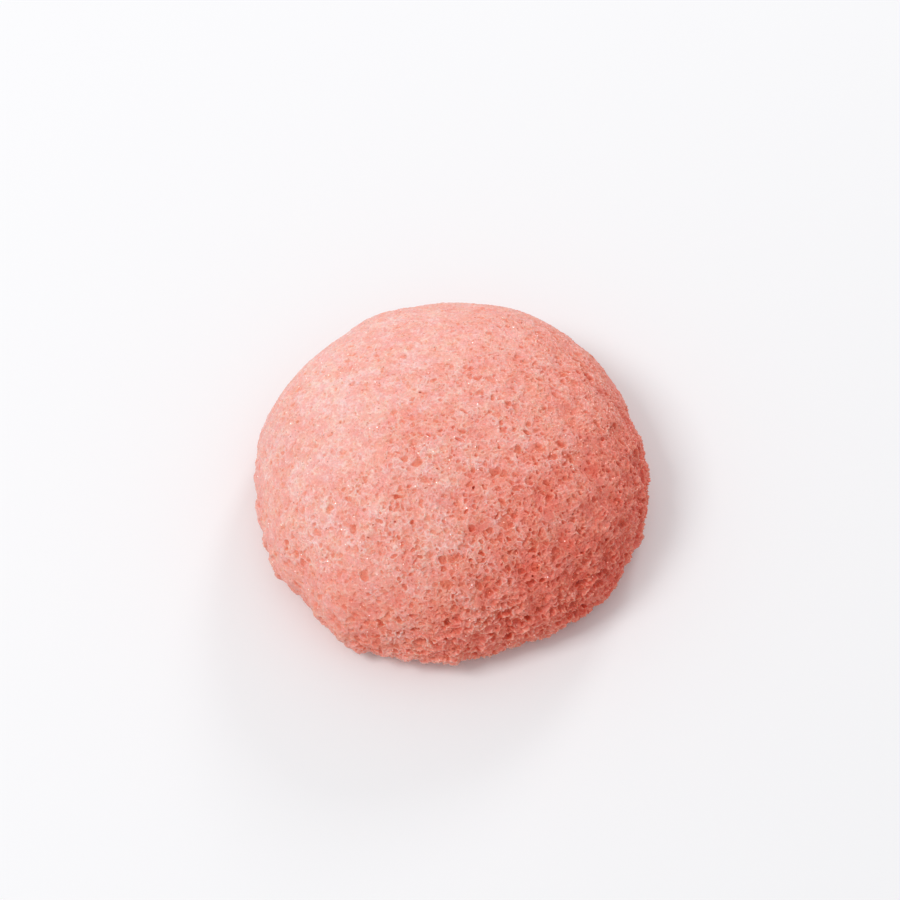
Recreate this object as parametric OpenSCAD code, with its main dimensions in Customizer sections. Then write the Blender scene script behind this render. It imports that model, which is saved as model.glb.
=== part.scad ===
// Konjac sponge: a half ball of cooked plant gel, soft and wet, with a flat face to wipe with.
// It is one moulded piece. Origin at the centre of the flat face, dome up, millimetres.

/* [Half ball] */
// Width across the widest line, just above the flat face
sponge_d = 90; // [60:1:130]
// Height from the flat face to the top of the dome
sponge_h = 36; // [26:1:60]
// How far the dome fills its corner: 2 is an ellipse, more is squarer
dome_power = 2.1; // [1.8:0.05:3]

/* [Rounded rim] */
// Height of the widest line above the flat face
rim_h = 7; // [3:0.5:14]
// How far the edge of the flat face lies inside the widest line
rim_inset = 8; // [3:0.5:14]

/* [Hand-made outline] */
// How much longer the outline is along its long way than across it
oval_gain = 1.4; // [0:0.1:4]
// Direction of the outline's long way, from +X
oval_dir = 70; // [0:5:180]
// How far three broad lobes stand out of the outline
lobe_gain = 0.4; // [0:0.1:1.5]
// Direction of the first lobe, from +X
lobe_dir = 115; // [0:5:115]
// How far the small crumples of the rim stand in and out
crumple = 0.5; // [0:0.05:1.2]
// Number of crumples in the coarsest run round the rim
crumple_count = 7; // [4:1:9]

/* [Soft hollows of the dome] */
// Depth of the deepest hollows
hollow_depth = 1.1; // [0:0.1:1.8]
// Distance from one hollow to the next
hollow_pitch = 9.7; // [8:0.1:14]
// Direction of the side where the gel set coarsest and the hollows are deepest, from +X
coarse_dir = -40; // [-180:5:180]

/* [Hidden] */
// Facets round the body, and rings up its rim and up its dome
sectors = 60;
rim_rings = 4;
dome_rings = 16;
ring_count = rim_rings + dome_rings;
// Three runs of crumples that don't keep step make the rim uneven. Each has its share of the
// crumple count, its share of the crumples' height, and the angle that it is turned by
crumple_run_shares = [[1, 0.4, 20], [12 / 7, 0.35, 130], [18 / 7, 0.25, 250]];
// Three runs of waves that cross make the hollows. Each has its share of the pitch, its share of
// the depth, the direction that it runs in, how steeply it climbs, and the angle it is turned by
hollow_run_shares = [[1, 0.5, 10, 20, 0], [0.85, 0.5, 70, -25, 120], [1.2, 0.5, 130, 30, 250]];
quarter = 90;
turn = 360;

// Crumples at an angle round the rim, between about -1 and 1
function crumples(a) =
    [for (run = crumple_run_shares) run[1] * cos(round(crumple_count * run[0]) * a + run[2])]
    * [for (run = crumple_run_shares) 1];

// Radius of the widest line at an angle, before its crumples. A gain of the long way over
// the short way, which are diameters, is four times the wave that makes it
function outline_r(a) =
    sponge_d / 2 + oval_gain / 4 * cos(2 * (a - oval_dir)) + lobe_gain * cos(3 * (a - lobe_dir));

// How far round its quarter a ring lies: the rim's quarter first, then the dome's
function ring_turn(i) =
    i <= rim_rings ? quarter * i / rim_rings : quarter * (i - rim_rings) / dome_rings;

// A superellipse's reach for a cosine or a sine
function reach(c) = pow(c, 2 / dome_power);

function ring_r(i, a) =
    i <= rim_rings
    ? outline_r(a) - rim_inset * (1 - sin(ring_turn(i))) + crumple * crumples(a)
    : (outline_r(a) + crumple * crumples(a) * cos(ring_turn(i))) * reach(cos(ring_turn(i)));

function ring_z(i) =
    i <= rim_rings
    ? rim_h * (1 - cos(ring_turn(i)))
    : rim_h + (sponge_h - rim_h) * reach(sin(ring_turn(i)));

// How far the hollows sink the skin at a point: nothing at the widest line and below it, and less
// the further the point lies from the coarse side
function sunk(p) =
    let (
        lean = p * [cos(coarse_dir), sin(coarse_dir), 0] / (sponge_d / 2),
        up_dome = min(1, max(0, p[2] / rim_h - 1)),
        waves = [
            for (run = hollow_run_shares)
                let (along = [cos(run[2]), sin(run[2]), tan(run[3])])
                run[1] * cos(turn * (p * along) / (hollow_pitch * run[0]) + run[4])
        ]
    )
    hollow_depth * up_dome * pow(max(0, 1 + lean) / 2, 2) * min(1, max(0, waves * [for (w = waves) 1]));

// The uneven outline is moved so that its box is centred on the origin
widest = [for (k = [0 : sectors - 1]) let (a = turn * k / sectors) ring_r(rim_rings, a) * [cos(a), sin(a)]];
widest_x = [for (p = widest) p[0]];
widest_y = [for (p = widest) p[1]];
middle = [min(widest_x) + max(widest_x), min(widest_y) + max(widest_y)] / 2;

function ring_point(i, k) =
    let (
        a = turn * k / sectors,
        smooth = [ring_r(i, a) * cos(a), ring_r(i, a) * sin(a), ring_z(i)],
        outwards = smooth - [0, 0, rim_h]
    )
    smooth - sunk(smooth) * outwards / norm(outwards) - [middle[0], middle[1], 0];

module sponge_body() {
    // Ring 0 is the edge of the flat face, and the last ring closes to the top point
    top = ring_count * sectors;
    points = concat(
        [for (i = [0 : ring_count - 1], k = [0 : sectors - 1]) ring_point(i, k)],
        [[-middle[0], -middle[1], sponge_h]]
    );
    walls = [
        for (i = [0 : ring_count - 2], k = [0 : sectors - 1], half = [0, 1])
            let (here = i * sectors + k, next = i * sectors + (k + 1) % sectors)
            half == 0 ? [here, here + sectors, next] : [next, here + sectors, next + sectors]
    ];
    cap = [for (k = [0 : sectors - 1]) [top - sectors + k, top, top - sectors + (k + 1) % sectors]];
    flat_face = [[for (k = [0 : sectors - 1]) k]];
    color("#E8998A") polyhedron(points, concat(walls, cap, flat_face), convexity = 2);
}

sponge_body();
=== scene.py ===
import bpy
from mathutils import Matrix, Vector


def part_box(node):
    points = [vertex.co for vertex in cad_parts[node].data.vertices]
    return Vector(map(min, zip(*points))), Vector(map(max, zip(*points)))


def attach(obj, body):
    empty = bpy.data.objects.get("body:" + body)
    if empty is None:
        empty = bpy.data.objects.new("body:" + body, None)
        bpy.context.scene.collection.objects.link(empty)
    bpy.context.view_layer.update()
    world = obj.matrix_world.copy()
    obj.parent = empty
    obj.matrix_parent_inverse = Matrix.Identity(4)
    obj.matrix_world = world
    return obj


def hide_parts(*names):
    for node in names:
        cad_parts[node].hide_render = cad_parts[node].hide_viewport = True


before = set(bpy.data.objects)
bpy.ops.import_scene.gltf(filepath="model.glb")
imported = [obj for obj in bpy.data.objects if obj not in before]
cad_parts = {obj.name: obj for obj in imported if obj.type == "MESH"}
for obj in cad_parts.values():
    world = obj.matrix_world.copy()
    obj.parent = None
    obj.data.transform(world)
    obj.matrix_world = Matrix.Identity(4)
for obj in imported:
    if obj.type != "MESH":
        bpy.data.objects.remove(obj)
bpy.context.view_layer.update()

import math

import bpy
import numpy as np
from mathutils import Vector

# The konjac sponge, one half ball. Konjac flour is cooked to a gel, frothed, set in a round
# mould and frozen, so that its water leaves pores of every size. It is shown wet: soft and
# translucent, with thin pale walls between the pores and a deeper pink inside them.
MM = 0.001
low, high = (np.array(corner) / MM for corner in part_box("sponge_body"))
half_wide, half_deep = (high - low)[:2] / 2
sponge_h = high[2]
rim_h = 7.0
rim_inset = 8.0
dome_power = 2.1
mean_r = (half_wide + half_deep) / 2

# The profile from the top of the dome, over the rim, to the middle of the flat face. The flat face
# lies on the floor, so its triangles are twice as large as those of the dome
face_density = 0.5
turn = np.linspace(math.pi / 2, 0, 400)
dome_r = mean_r * np.cos(turn) ** (2 / dome_power)
dome_z = rim_h + (sponge_h - rim_h) * np.sin(turn) ** (2 / dome_power)
edge_r = mean_r - rim_inset * (1 - np.sin(turn))
edge_z = rim_h * (1 - np.cos(turn))
face_r = np.linspace(mean_r - rim_inset, 0, 200)
profile_r = np.concatenate([dome_r, edge_r, face_r])
profile_z = np.concatenate([dome_z, edge_z, np.zeros_like(face_r)])
bands = np.hypot(np.diff(profile_r), np.diff(profile_z)) * (profile_r[1:] + profile_r[:-1]) / 2
flat_at = len(dome_r) + len(edge_r)
bands[flat_at:] *= face_density
covered = np.concatenate([[0], np.cumsum(bands)])
covered /= covered[-1]

# A ball of even triangles is drawn over that profile so that each keeps its share of the area.
ball_cuts = 9
bpy.ops.object.select_all(action="DESELECT")
bpy.ops.mesh.primitive_ico_sphere_add(subdivisions=ball_cuts, radius=1)
sponge = bpy.context.object
sponge.name = "konjac_body"
mesh = sponge.data
ball = np.empty(len(mesh.vertices) * 3)
mesh.vertices.foreach_get("co", ball)
ball = ball.reshape(-1, 3)
share = (1 - ball[:, 2]) / 2
angle = np.arctan2(ball[:, 1], ball[:, 0])
reach = np.interp(share, covered, profile_r)
height = np.interp(share, covered, profile_z)

# The outline wanders in long waves: how many go round it, their height and first crest. It also
# has a few dents and bulges, which fade out up the dome: their direction, width and height
up_dome_fade = np.clip(reach / mean_r, 0, 1) ** 2.5
wander = np.zeros_like(angle)
for count, wave_h, crest_dir in ((2, 0.55, 57), (3, 0.30, -7), (4, 0.57, 66), (5, 0.25, -33)):
    wander += wave_h * np.cos(count * (angle - math.radians(crest_dir)))
for bulge_dir, bulge_w, bulge_h in (
    (-150, 6, 0.9), (-137, 5, -1.1), (-122, 7, 1.1), (-104, 9, -0.7), (-74, 7, -0.7), (-20, 12, -0.8),
    (18, 7, -0.6), (116, 8, 0.7),
):
    off_dir = np.remainder(np.degrees(angle) - bulge_dir + 180, 360) - 180
    wander += bulge_h * np.exp(-((off_dir / bulge_w) ** 2)) * up_dome_fade
reach *= 1 + wander / mean_r
at = np.stack([reach * np.cos(angle), reach * np.sin(angle), height])
at[:2] -= (at[:2].max(1) + at[:2].min(1))[:, None] / 2

# The gel is thought of as filled with cells on a turned grid. A cell's number picks its random
# numbers from a table
TABLE = 1 << 17
PRIMES = (73856093, 19349663, 83492791)


def grid_of(at, spacing, salt, columns):
    """Each point's whole cell and its place in it, and a table of even random numbers"""
    random = np.random.default_rng(salt)
    turned = np.linalg.qr(random.normal(size=(3, 3)))[0].astype(np.float32)
    place = turned @ (at / spacing).astype(np.float32) + 1000
    whole = place.astype(np.int64)
    return whole, place - whole, random.random((columns, TABLE), np.float32)


def cell_number(whole, step):
    """The place in the table of the cells that lie a step from the given ones"""
    i, j, k = [(whole[n] + step[n]) * PRIMES[n] for n in range(3)]
    return (i ^ j ^ k) & (TABLE - 1)


def lumps(at, size, salt):
    """Smooth noise from -1 to 1 with lumps of one size"""
    whole, part, (value,) = grid_of(at, size, salt, 1)
    part = part * part * (3 - 2 * part)
    total = np.zeros(at.shape[1])
    for step in np.ndindex(2, 2, 2):
        weight = np.prod([abs(1 - step[n] - part[n]) for n in range(3)], axis=0)
        total += weight * value[cell_number(whole, step)]
    return total * 2 - 1


def pores(at, chance, spacing, smallest, largest, salt):
    """How far down the pores of one size go, from 0 at their edge to 1 and more, the distance from
    the nearest edge, the pore's radius and its lot, an even random number. Lengths are in
    millimetres, and the smallest and the largest radius are shares of the spacing. A pore is
    squashed to an oval, and its bowl slants. With a chance of 0 or less no cell has a pore, and
    with one of 1 or more each cell has"""
    whole, part, table = grid_of(at, spacing, salt, 9)
    down = np.zeros(at.shape[1], np.float32)
    edge = np.full(at.shape[1], 9e9, np.float32)
    size = np.full(at.shape[1], smallest, np.float32)
    lot = np.full(at.shape[1], 0.5, np.float32)
    for step in np.ndindex(3, 3, 3):
        step = [n - 1 for n in step]
        cell = cell_number(whole, step)
        off = [part[n] - step[n] - table[n][cell] for n in range(3)]
        squash = sum(off[n] * (table[6 + n][cell] - 0.5) for n in range(3))
        away = np.sqrt(off[0] ** 2 + off[1] ** 2 + off[2] ** 2 + 3.5 * squash**2)
        radius = smallest + (largest - smallest) * table[3][cell] ** 1.5
        there = table[4][cell] < chance
        slant = sum(off[n] * (table[n][cell] - 0.5) for n in range(3)) / radius
        depth = np.maximum(1 - (away / radius) ** 2, 0) ** 0.7 * (1 + 0.9 * slant)
        depth = np.where(there & (away < radius), depth, 0)
        deeper = depth * radius > down * size
        down = np.where(deeper, depth, down)
        size = np.where(deeper, radius, size)
        lot = np.where(deeper, table[5][cell], lot)
        edge = np.where(there, np.minimum(edge, abs(away - radius)), edge)
    return down, edge * spacing, size * spacing, lot


def wall_mm(at, spacing, salt):
    """How far the points lie from the walls of a net of random cells, in millimetres"""
    whole, part, table = grid_of(at, spacing, salt, 3)
    nearest = np.full(at.shape[1], 9, np.float32)
    second = nearest.copy()
    for step in np.ndindex(3, 3, 3):
        step = [n - 1 for n in step]
        cell = cell_number(whole, step)
        away = np.sqrt(sum((part[n] - step[n] - table[n][cell]) ** 2 for n in range(3)))
        second = np.minimum(second, np.maximum(nearest, away))
        nearest = np.minimum(nearest, away)
    return (second - nearest) * spacing / 2


def normals_of(at):
    """Moves the mesh's points to these places, and gives the skin's direction outwards at each"""
    mesh.vertices.foreach_set("co", (at.T * MM).ravel())
    mesh.update()
    normal = np.empty(at.size)
    mesh.vertex_normals.foreach_get("vector", normal)
    return normal.reshape(-1, 3).T


# The skin swells and sinks in broad lumps. The rim has crumples too, and small knobs that stand
# out most on the left
rim_ness = np.exp(-(((at[2] - rim_h * 0.7) / (rim_h * 0.9)) ** 2))
knobbly = 0.7 - 0.35 * at[0] / mean_r
swell = 0.40 * lumps(at, 16, 5) + 0.22 * lumps(at, 7, 9)
swell += rim_ness * 0.55 * lumps(at, 5, 13)
swell += rim_ness * knobbly * (0.90 * lumps(at, 2.4, 15) + 0.35 * lumps(at, 1.2, 17))
at += normals_of(at) * swell
normal = normals_of(at)

# Soft hollows, deepest on the coarse side, lie where three runs of waves cross, as in the solid
coarse_dir = math.radians(-40)
hollow_depth = 1.1
hollow_pitch = 9.7
waves = np.zeros(at.shape[1])
for pitch_share, bearing, climb, turned in ((1, 10, 20, 0), (0.85, 70, -25, 120), (1.2, 130, 30, 250)):
    across = at[0] * math.cos(math.radians(bearing)) + at[1] * math.sin(math.radians(bearing))
    run = across + at[2] * math.tan(math.radians(climb))
    waves += 0.5 * np.cos(math.tau * run / (hollow_pitch * pitch_share) + math.radians(turned))
lean = (at[0] * math.cos(coarse_dir) + at[1] * math.sin(coarse_dir)) / mean_r
hollow = np.clip(at[2] / rim_h - 1, 0, 1) * (np.clip(1 + lean, 0, None) / 2) ** 2 * np.clip(waves, 0, 1)

# The gel is coarser towards that side and a little towards the front, and nothing in it is quite
# straight or round
right, away = at[0] / mean_r, at[1] / mean_r
coarse = 0.50 + 0.46 * lean - 0.08 * away + 0.18 * lumps(at, 14, 21) + 0.18 * lumps(at, 5, 23)
coarse = np.clip(coarse, 0, 1)
warp = np.stack([0.46 * lumps(at, 1.7, 31 + k) + 0.24 * lumps(at, 0.7, 41 + k) for k in range(3)])
bent = at + warp
dent_depth = 0.45
dent = (0.2 + 0.8 * coarse) * np.clip(lumps(bent, 2.4, 71), 0, 1)
relief = -hollow_depth * hollow - dent_depth * dent

# Low on that side the skin has torn into flakes that run along the rim, with small folds on them.
# A flake has its length along the rim, its height up the side and its length outwards
flake_mm = (2.6, 1.3, 1.6)
flake_h = 0.65
fold_h = 0.22
low_side = np.clip(1.9 - at[2] / 15, 0, 1) * np.clip(2.4 * lean - 0.7, 0, 1)
along_rim = np.arctan2(at[1], at[0]) * mean_r
along = np.stack([along_rim / flake_mm[0], at[2] / flake_mm[1], np.hypot(at[0], at[1]) / flake_mm[2]])
flake = 1 - abs(lumps(along + 0.6 * warp, 1, 90)) * 2.6
fold = 1 - abs(lumps(along + 0.4 * warp, 0.45, 91)) * 2.6
relief += low_side * (flake_h * np.maximum(flake, -1) + fold_h * np.maximum(fold, -1))

# Open pores of four sizes, the largest first: their spacing, their chance in fine and in coarse
# gel, their largest radius, how deep their bowls are in both, and how high their lip stands. The
# lip is torn in places, and inside a pore there is less room for smaller ones
smallest = 0.24
lip_mm = 0.09
room_left = np.ones(at.shape[1])
carved = np.zeros(at.shape[1])
blush = np.zeros(at.shape[1])
brim = np.zeros(at.shape[1])
for spacing, few, many, largest, fine_bowl, coarse_bowl, lip_h, salt in (
    (2.70, -0.25, 0.95, 0.52, 0.35, 0.85, 0.13, 700),
    (1.75, 0.15, 1.20, 0.58, 0.40, 0.95, 0.13, 600),
    (1.10, 0.35, 1.15, 0.62, 0.50, 1.05, 0.10, 500),
    (0.65, 0.50, 0.85, 0.66, 0.50, 1.00, 0.06, 400),
):
    down, edge, size, lot = pores(bent, few + (many - few) * coarse, spacing, smallest, largest, salt)
    bowl = (fine_bowl + (coarse_bowl - fine_bowl) * coarse**1.7) * (0.25 + 0.75 * lot) * size
    lip = np.clip(0.5 + 1.6 * lumps(at, 1.3, salt + 1), 0, 1) * np.exp(-((edge / lip_mm) ** 2))
    brim = np.maximum(brim, lip * min(1, spacing / 1.8) * room_left)
    carved += bowl * down * room_left
    relief += lip_h * (0.3 + 0.7 * coarse) * lip
    blush += (lot - 0.4) * np.clip(down * 1.5, 0, 1) * (spacing / 2.8) * room_left
    room_left *= 1 - 0.5 * np.clip(down, 0, 1)
relief -= carved

# Between them the gel is fibrous: nets of thin threads that break off, over fine folds and grit.
# Where pores and hollows meet, the skin levels off towards one greatest depth
thread_mm = 0.10
fine_fold_h = 0.15
grit_h = 0.08
deepest = 2.4
thread = np.zeros(at.shape[1])
for size, thread_h, salt in ((2.4, 0.22, 800), (1.5, 0.22, 810), (0.95, 0.16, 820)):
    line = np.exp(-((wall_mm(bent, size, salt) / thread_mm) ** 2))
    line *= np.clip(0.1 + 2 * lumps(at, 0.8 * size, salt + 1), 0, 1) * (1 - 0.7 * np.clip(carved * 2, 0, 1))
    thread = np.maximum(thread, line)
    relief += thread_h * (0.35 + 0.65 * coarse) * line
relief += fine_fold_h * (0.5 - abs(lumps(bent, 0.7, 830))) + grit_h * lumps(at, 0.40, 831)
relief = np.where(relief < 0, -deepest * (1 - np.exp(relief / deepest)), relief)

# A ridge is a point that stands higher than the mean of those around it. The links are the
# number of edges that meet at each point
ends = np.empty(len(mesh.edges) * 2, np.int64)
mesh.edges.foreach_get("vertices", ends)
ends = ends.reshape(-1, 2).T.copy()
links = np.bincount(ends.ravel())


def smoothed(field, rounds):
    """The field after each point has taken its neighbours' mean a number of times"""
    for _ in range(rounds):
        total = np.bincount(ends[0], field[ends[1]], len(field))
        total += np.bincount(ends[1], field[ends[0]], len(field))
        field = 0.5 * field + 0.5 * total / links
    return field


ridge = relief - smoothed(relief, 8)

# Small pinholes, more of them in coarse gel
hole_depth = 0.35
down, _, _, lot = pores(at, 0.02 + 0.50 * coarse, 2.0, 0.06, 0.16, 300)
hole = np.clip(down * 1.5, 0, 1) * (0.3 + 0.7 * lot)
relief -= hole_depth * hole

# How deep a pink comes back, from 0 to 1. Painted shade makes it deeper to the right, towards the front and
# round the rim, and in hollows, dents, creases, pores and pinholes. It is also uneven in clouds of 4 mm and
# 1.6 mm
out2 = right**2 + away**2
dye_and_painted_shade = 0.232 + 0.152 * right - 0.055 * away - 0.046 * right * away - 0.09 * out2 + 0.24 * out2**2
dye_and_painted_shade += 0.12 * np.clip(lean - 0.3, 0, 1) - 0.03 * away**2 + 0.04 * away * out2**2
dye_and_painted_shade += (0.035 + 0.065 * coarse) * lumps(bent, 4.0, 95) + (0.025 + 0.045 * coarse) * lumps(bent, 1.6, 96)
crease = low_side * (np.clip(-flake, 0, 1) + 0.5 * np.clip(-fold, 0, 1))
dye_and_painted_shade += 0.09 * hollow + 0.12 * dent + 0.13 * crease
dye_and_painted_shade += (0.22 + 0.07 * coarse) * (1 - np.exp(-carved / 0.6)) + 0.06 * blush + 0.45 * hole
# Creases also count as carved, so that the material paints shade into them as into pores
carved += 0.3 * crease

at += normal * relief
at[2] = np.maximum(at[2], 0)
mesh.vertices.foreach_set("co", (at.T * MM).ravel())
mesh.update()
mesh.shade_smooth()
for name, values in (
    ("dye_and_painted_shade", dye_and_painted_shade), ("carved", carved), ("ridge", ridge), ("thread", thread), ("brim", brim),
    ("coarse", coarse), ("hole", hole),
):
    layer = mesh.attributes.new(name, "FLOAT", "POINT")
    layer.data.foreach_set("value", values.astype(np.float32))

# The skin is laid out flat for baking: the dome and rim on one rectangle, and the flat face on
# another above it, each from a disc of even area that is pressed out to a square. A corner's
# angle says towards which side of the square it lies, and how far it slides along that side
dome_v, dome_share = 0.35, 0.70
face_v, face_share = 0.86, 0.28
fit = 0.492
corner = np.empty(len(mesh.loops), np.int32)
mesh.loops.foreach_get("vertex_index", corner)
share_flat = covered[flat_at]
on_face = np.repeat(share[corner].reshape(-1, 3).mean(1) > share_flat, 3)
dome_out = np.sqrt(share[corner] / share_flat)
face_out = np.sqrt((1 - share[corner]) / (1 - share_flat))
out_by = np.where(on_face, face_out, dome_out)
eighths = angle[corner] / (math.pi / 4)
side = np.round(eighths / 2).astype(int) % 4
slide = out_by * (eighths - 2 * np.round(eighths / 2))
square_x = np.choose(side, (out_by, -slide, -out_by, slide))
square_y = np.choose(side, (slide, out_by, -slide, -out_by))
u = 0.5 + fit * np.where(on_face, -square_x, square_x)
v = np.where(on_face, face_v + face_share * fit * square_y, dome_v + dome_share * fit * square_y)
bake_uv = mesh.uv_layers.new(name="OFBake")
bake_uv.uv.foreach_set("vector", np.stack([u, v], 1).astype(np.float32).ravel())


def linear(colour):
    """An sRGB hex colour as linear red, green, blue and alpha"""
    parts = [int(colour[i : i + 2], 16) / 255 for i in (1, 3, 5)]
    return [c / 12.92 if c <= 0.04045 else ((c + 0.055) / 1.055) ** 2.4 for c in parts] + [1]


def node(tree, kind, settings=None, **inputs):
    """Adds a node, sets its properties and sockets, and links the nodes or outputs it is given. A
    socket goes by its name, with _ for each space, or by _ and its number"""
    made = tree.nodes.new(kind)
    for key, value in (settings or {}).items():
        setattr(made, key, value)
    for key, value in inputs.items():
        socket = made.inputs[int(key[1:])] if key[0] == "_" else made.inputs[key.replace("_", " ")]
        if isinstance(value, bpy.types.Node):
            value = value.outputs[0]
        if isinstance(value, bpy.types.NodeSocket):
            tree.links.new(value, socket)
        else:
            socket.default_value = value
    return made


# Konjac gel, wet: dyed pink all through, full of bubbles, and covered by a film of water. The eye
# sees pale bubble walls one over another, deeper pink where light gets further in, and a soft shine
gel = bpy.data.materials.new("wet_konjac_gel")
gel.use_nodes = True
tree = gel.node_tree
tree.nodes.clear()
ADD, SUBTRACT, TIMES, DIVIDE, TIMES_PLUS, LARGER, POWER = (
    {"operation": name}
    for name in ("ADD", "SUBTRACT", "MULTIPLY", "DIVIDE", "MULTIPLY_ADD", "MAXIMUM", "POWER")
)
place = node(tree, "ShaderNodeTexCoord").outputs["Object"]
dye_and_painted_shade_at, carved_at, ridge_at, thread_at, brim_at, coarse_at, hole_at = (
    node(tree, "ShaderNodeAttribute", {"attribute_name": name}).outputs["Fac"]
    for name in ("dye_and_painted_shade", "carved", "ridge", "thread", "brim", "coarse", "hole")
)

# Most patterns are bent a little, so that nothing is quite round or straight. The skin with its
# single bubbles gets thinner where a pore is carved out of it
bend = node(tree, "ShaderNodeTexNoise", Vector=place, Scale=1 / (0.9 * MM), Detail=1.5).outputs["Color"]
bent_place = node(tree, "ShaderNodeVectorMath", TIMES_PLUS, _0=bend, _1=(0.9 * MM,) * 3, _2=place)
skin_left = node(tree, "ShaderNodeMapRange", Value=carved_at, From_Max=0.5, To_Min=1, To_Max=0.5)

# Single bubbles lie just under the skin, about every 1.3 mm: a pale ring round a warmer inside
bubbles = node(tree, "ShaderNodeTexVoronoi", Vector=bent_place, Scale=1 / (1.25 * MM))
pick = node(tree, "ShaderNodeSeparateColor", Color=bubbles.outputs["Color"]).outputs
bubble_r = node(tree, "ShaderNodeMapRange", Value=pick[0], To_Min=0.14, To_Max=0.42)
out_by = node(tree, "ShaderNodeMath", DIVIDE, _0=bubbles, _1=bubble_r)
there = node(tree, "ShaderNodeMapRange", Value=pick[1], From_Min=0.30, From_Max=0.40, To_Min=1, To_Max=0)
there = node(tree, "ShaderNodeMath", TIMES, _0=there, _1=skin_left)
inside = node(tree, "ShaderNodeMapRange", Value=out_by, From_Min=0.86, From_Max=1, To_Min=1, To_Max=0)
inside = node(tree, "ShaderNodeMath", TIMES, _0=inside, _1=there)
ring = node(tree, "ShaderNodeMath", SUBTRACT, _0=bubbles, _1=bubble_r)
ring = node(tree, "ShaderNodeMath", {"operation": "ABSOLUTE"}, _0=ring)
ring = node(tree, "ShaderNodeMapRange", Value=ring, From_Min=0.03, From_Max=0.10, To_Min=0.8, To_Max=0)
ring = node(tree, "ShaderNodeMath", TIMES, _0=ring, _1=there)

# Small pinholes painted dark as the shade in them, points of white painted as glints where an air bubble
# catches the light, and specks about 0.3 mm wide that are lighter or darker
pinholes = node(tree, "ShaderNodeTexVoronoi", Vector=bent_place, Scale=1 / (1.6 * MM))
pick = node(tree, "ShaderNodeSeparateColor", Color=pinholes.outputs["Color"]).outputs
pinhole_r = node(tree, "ShaderNodeMapRange", Value=pick[0], To_Min=0.065, To_Max=0.17)
pinhole = node(tree, "ShaderNodeMath", DIVIDE, _0=pinholes, _1=pinhole_r)
pinhole = node(tree, "ShaderNodeMapRange", Value=pinhole, From_Min=0.7, From_Max=1.1, To_Min=1, To_Max=0)
pinhole_depth = node(tree, "ShaderNodeMapRange", Value=pick[1], From_Min=0.3, From_Max=1)
pinhole = node(tree, "ShaderNodeMath", TIMES, _0=pinhole, _1=pinhole_depth)
glints = node(tree, "ShaderNodeTexVoronoi", Vector=place, Scale=1 / (1.8 * MM))
pick = node(tree, "ShaderNodeSeparateColor", Color=glints.outputs["Color"]).outputs
glint_r = node(tree, "ShaderNodeMapRange", Value=pick[0], To_Min=0.06, To_Max=0.11)
glint = node(tree, "ShaderNodeMath", DIVIDE, _0=glints, _1=glint_r)
glint = node(tree, "ShaderNodeMapRange", Value=glint, From_Min=0.7, From_Max=1.1, To_Min=1, To_Max=0)
glint_there = node(tree, "ShaderNodeMapRange", Value=pick[1], From_Min=0.50, From_Max=0.80)
glint = node(tree, "ShaderNodeMath", TIMES, _0=glint, _1=glint_there)
specks = node(tree, "ShaderNodeTexVoronoi", Vector=place, Scale=1 / (0.95 * MM))
pick = node(tree, "ShaderNodeSeparateColor", Color=specks.outputs["Color"]).outputs
speck = node(tree, "ShaderNodeMapRange", Value=specks, From_Min=0.10, From_Max=0.20, To_Min=1, To_Max=0)
speck_light = node(tree, "ShaderNodeMapRange", Value=pick[0], To_Min=-0.45, To_Max=0.45)
speck = node(tree, "ShaderNodeMath", TIMES, _0=speck, _1=speck_light)

# The colour goes by how deep the light gets: palest in walls and crests, deepest in pores. The paler
# crests, lips, threads and bubble rings are partly thin walls and partly painted highlight; pinholes are
# painted darker as shade, and glints white as painted highlights
crest = node(tree, "ShaderNodeMapRange", Value=ridge_at, From_Min=0.02, From_Max=0.20)
brim = node(tree, "ShaderNodeMath", TIMES, _0=brim_at, _1=0.88)
pale = node(tree, "ShaderNodeMath", LARGER, _0=crest, _1=brim)
thread_by = node(tree, "ShaderNodeMapRange", Value=coarse_at, To_Min=1, To_Max=0.7)
faint = node(tree, "ShaderNodeMath", TIMES, _0=thread_at, _1=thread_by)
pale = node(tree, "ShaderNodeMath", LARGER, _0=pale, _1=faint)
pale = node(tree, "ShaderNodeMath", LARGER, _0=pale, _1=ring)
paler_by = node(tree, "ShaderNodeMapRange", Value=coarse_at, From_Min=0.5, To_Min=-0.16, To_Max=-0.26)
mottle = node(tree, "ShaderNodeTexNoise", Vector=bent_place, Scale=1 / (0.55 * MM), Detail=1)
mottle = node(tree, "ShaderNodeMath", SUBTRACT, _0=mottle, _1=0.5)
mottle_by = node(tree, "ShaderNodeMath", TIMES_PLUS, _0=coarse_at, _1=0.06, _2=0.04)
mottle_by = node(tree, "ShaderNodeMath", TIMES_PLUS, _0=carved_at, _1=0.50, _2=mottle_by)
depth = node(tree, "ShaderNodeMath", TIMES_PLUS, _0=mottle, _1=mottle_by, _2=dye_and_painted_shade_at)
for mark, deeper_by in ((pale, paler_by), (inside, 0.05), (pinhole, 0.16), (glint, -0.4)):
    depth = node(tree, "ShaderNodeMath", TIMES_PLUS, _0=mark, _1=deeper_by, _2=depth)
pink = node(tree, "ShaderNodeValToRGB", Fac=depth)
pink.color_ramp.elements[0].color = linear("#FFD3CA")
pink.color_ramp.elements[1].color = linear("#C2361F")
for place_on_ramp, colour in ((0.18, "#F9AE9F"), (0.36, "#F48F7B"), (0.64, "#E4604A")):
    pink.color_ramp.elements.new(place_on_ramp).color = linear(colour)
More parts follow.
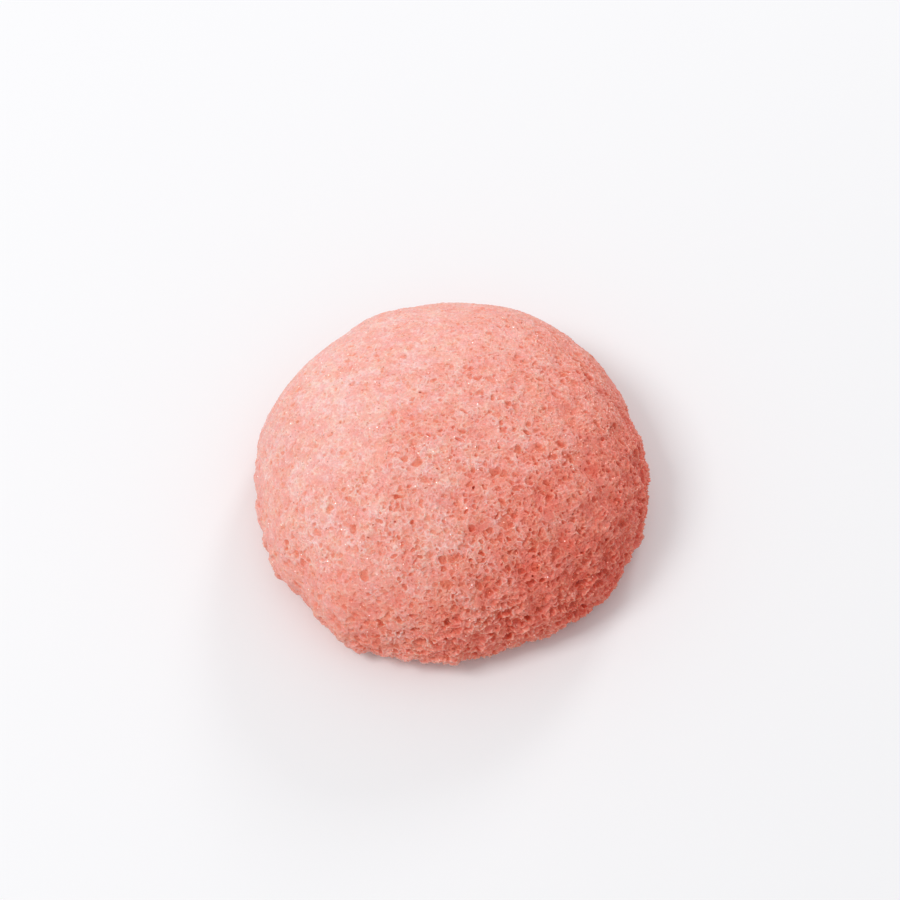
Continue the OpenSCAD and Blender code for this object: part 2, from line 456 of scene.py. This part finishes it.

# The pink is warmer in open pores and creases, which is painted shade, and in bubbles, and wanders a little
# between lilac and orange in clouds of 3.5 mm
hue = node(tree, "ShaderNodeTexNoise", Vector=place, Scale=1 / (3.5 * MM), Detail=3)
blue = node(tree, "ShaderNodeMapRange", Value=hue, From_Min=0.35, From_Max=0.65, To_Min=0.945, To_Max=1.055)
pore_blue = node(tree, "ShaderNodeMapRange", Value=carved_at, From_Max=0.5, To_Min=1.04, To_Max=0.89)
blue = node(tree, "ShaderNodeMath", TIMES, _0=blue, _1=pore_blue)
for mark, less_blue in ((inside, 0.90), (pale, 0.96)):
    blue_by = node(tree, "ShaderNodeMapRange", Value=mark, To_Min=1, To_Max=less_blue)
    blue = node(tree, "ShaderNodeMath", TIMES, _0=blue, _1=blue_by)
warmth = node(tree, "ShaderNodeCombineXYZ", X=1, Y=1, Z=blue)
pink_dye_and_painted_light = node(tree, "ShaderNodeVectorMath", TIMES, _0=pink, _1=warmth)

# Bubbles of 0.1 mm can't be seen one by one. They are drawn as 0.3 mm grains of light and dark, and
# what is darker is also a deeper red
grain = node(tree, "ShaderNodeTexNoise", Vector=place, Scale=1 / (0.35 * MM), Detail=2)
sand = node(tree, "ShaderNodeTexVoronoi", Vector=place, Scale=1 / (0.30 * MM)).outputs["Color"]
sand = node(tree, "ShaderNodeSeparateColor", Color=sand)
sand = node(tree, "ShaderNodeMath", SUBTRACT, _0=sand, _1=0.5)
sand_by = node(tree, "ShaderNodeMapRange", Value=coarse_at, To_Min=0.11, To_Max=0.14)
# Painted light and shade: pores and creases are darker, more so in coarse gel, pinholes are darker still,
# coarse crests a little lighter and glints white. Grain, sand and specks are light and dark at random
crest_light = node(tree, "ShaderNodeMath", TIMES, _0=pale, _1=coarse_at)
pore_painted_shade = node(tree, "ShaderNodeMapRange", Value=carved_at, From_Max=1, To_Max=-0.08)
shade = node(tree, "ShaderNodeMath", TIMES_PLUS, _0=pore_painted_shade, _1=coarse_at, _2=0.93)
for mark, lighter_by in (
    (grain, 0.06), (sand, sand_by), (speck, 1), (crest_light, 0.02),
    (pinhole, -0.16), (hole_at, -0.45), (glint, 1.2),
):
    shade = node(tree, "ShaderNodeMath", TIMES_PLUS, _0=mark, _1=lighter_by, _2=shade)
red, green, blue = (node(tree, "ShaderNodeMath", POWER, _0=shade, _1=power) for power in (1.0, 1.12, 1.16))
shades = node(tree, "ShaderNodeCombineXYZ", X=red, Y=green, Z=blue)
colour = node(tree, "ShaderNodeVectorMath", TIMES, _0=pink_dye_and_painted_light, _1=shades)

# The skin is finely uneven, single bubbles dip, and the film of water over them is smoother
bump_mm = 0.10
dip_mm = 0.15
film_mm = 0.05
dip = node(tree, "ShaderNodeMath", TIMES_PLUS, _0=out_by, _1=out_by, _2=-1)
dip = node(tree, "ShaderNodeMath", TIMES, _0=dip, _1=inside)
lift = node(tree, "ShaderNodeMath", TIMES_PLUS, _0=dip, _1=dip_mm / bump_mm, _2=grain)
rough_by = node(tree, "ShaderNodeMapRange", Value=coarse_at, To_Min=0.5, To_Max=1)
uneven = node(tree, "ShaderNodeBump", Height=lift, Strength=rough_by, Distance=bump_mm * MM)
ripples = node(tree, "ShaderNodeTexNoise", Vector=place, Scale=1 / (0.8 * MM), Detail=1)
film = node(tree, "ShaderNodeBump", Height=ripples, Strength=1, Distance=film_mm * MM)
skin = node(
    tree,
    "ShaderNodeBsdfPrincipled",
    Base_Color=colour,
    Roughness=0.4,
    Subsurface_Weight=0.3,
    Subsurface_Radius=(1.0, 0.35, 0.28),
    Subsurface_Scale=2.0 * MM,
    IOR=1.36,
    Coat_Weight=0.4,
    Coat_IOR=1.33,
    Coat_Roughness=0.10,
    Normal=uneven,
    Coat_Normal=film,
)
node(tree, "ShaderNodeOutputMaterial", Surface=skin)
mesh.materials.append(gel)

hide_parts("sponge_body")
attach(sponge, "root")

# The floor and the background, matt paper. To the eye it is near white. The light that it throws
# back at the sponge is that of a duller, warmer paper. It lies a hair below the flat face
floor_drop = 0.02 * MM
bpy.ops.mesh.primitive_plane_add(size=2, location=(0, 0, -floor_drop))
floor = bpy.context.object
floor.name = "studio_floor"
paper = bpy.data.materials.new("pale_paper")
paper.use_nodes = True
tree = paper.node_tree
tree.nodes.clear()
rays = node(tree, "ShaderNodeLightPath").outputs
seen = node(tree, "ShaderNodeMath", ADD, _0=rays["Is Camera Ray"], _1=rays["Is Glossy Ray"])
seen = node(tree, "ShaderNodeMath", ADD, _0=seen, _1=rays["Is Transmission Ray"])
thrown_back = node(tree, "ShaderNodeBsdfDiffuse", Color=linear("#E6DDD9"))
near_white = node(tree, "ShaderNodeBsdfDiffuse", Color=linear("#F7F7F9"))
sheet = node(tree, "ShaderNodeMixShader", Fac=seen, _1=thrown_back, _2=near_white)
node(tree, "ShaderNodeOutputMaterial", Surface=sheet)
floor.data.materials.append(paper)

# The sky, an even white all round. To the eye it is brighter than the light that it gives, so that
# the background is nearly white and the pink doesn't clip
world = bpy.data.worlds.new("studio")
bpy.context.scene.world = world
world.use_nodes = True
tree = world.node_tree
tree.nodes.clear()
rays = node(tree, "ShaderNodeLightPath").outputs
seen = node(tree, "ShaderNodeMath", ADD, _0=rays["Is Camera Ray"], _1=rays["Is Glossy Ray"])
seen = node(tree, "ShaderNodeMath", ADD, _0=seen, _1=rays["Is Transmission Ray"])
glow_level = node(tree, "ShaderNodeMapRange", Value=seen, To_Min=0.645, To_Max=0.93)
glow = node(tree, "ShaderNodeBackground", Color=linear("#FFFFFF"), Strength=glow_level)
node(tree, "ShaderNodeOutputWorld", Surface=glow)


def softbox(name, towards, distance, size, level):
    """A square soft light that lights a white surface facing it to the given level"""
    lamp = bpy.data.lights.new(name, "AREA")
    lamp.size = size
    lamp.energy = level * (math.pi * distance) ** 2
    holder = bpy.data.objects.new(name, lamp)
    holder.location = Vector(towards).normalized() * distance
    holder.rotation_euler = Vector(towards).to_track_quat("Z", "Y").to_euler()
    bpy.context.collection.objects.link(holder)


# One soft light comes from the upper left, and a weaker one from behind on the right
softbox("key_light", (-0.55, -0.15, 0.82), 1.4, 0.5, 0.35)
softbox("back_light", (0.30, 0.80, 0.45), 1.0, 0.22, 0.20)

# The camera looks down on the front of the dome from far off. The point over the middle of the
# flat face, at the aim's height, is seen at the aim's pixel, and the lens gives the scale there
view_distance = 800 * MM
look_down = math.radians(58.5)
frame_px = 900
px_per_mm = 4.39
aim_px = (451, 472)
aim_height = 12 * MM
back = Vector((0, -math.cos(look_down), math.sin(look_down)))
up = Vector((0, math.sin(look_down), math.cos(look_down)))
look_at = Vector((0, 0, aim_height)) + up * (aim_px[1] - frame_px / 2) / px_per_mm * MM
look_at -= Vector((1, 0, 0)) * (aim_px[0] - frame_px / 2) / px_per_mm * MM
lens = bpy.data.cameras.new("photo_camera")
lens.sensor_width = 36
lens.lens = lens.sensor_width * px_per_mm * (view_distance / MM) / frame_px
camera = bpy.data.objects.new("photo_camera", lens)
camera.location = look_at + back * view_distance
camera.rotation_euler = (-back).to_track_quat("-Z", "Y").to_euler()
bpy.context.collection.objects.link(camera)
bpy.context.scene.camera = camera
bpy.context.scene.view_settings.view_transform = "Standard"
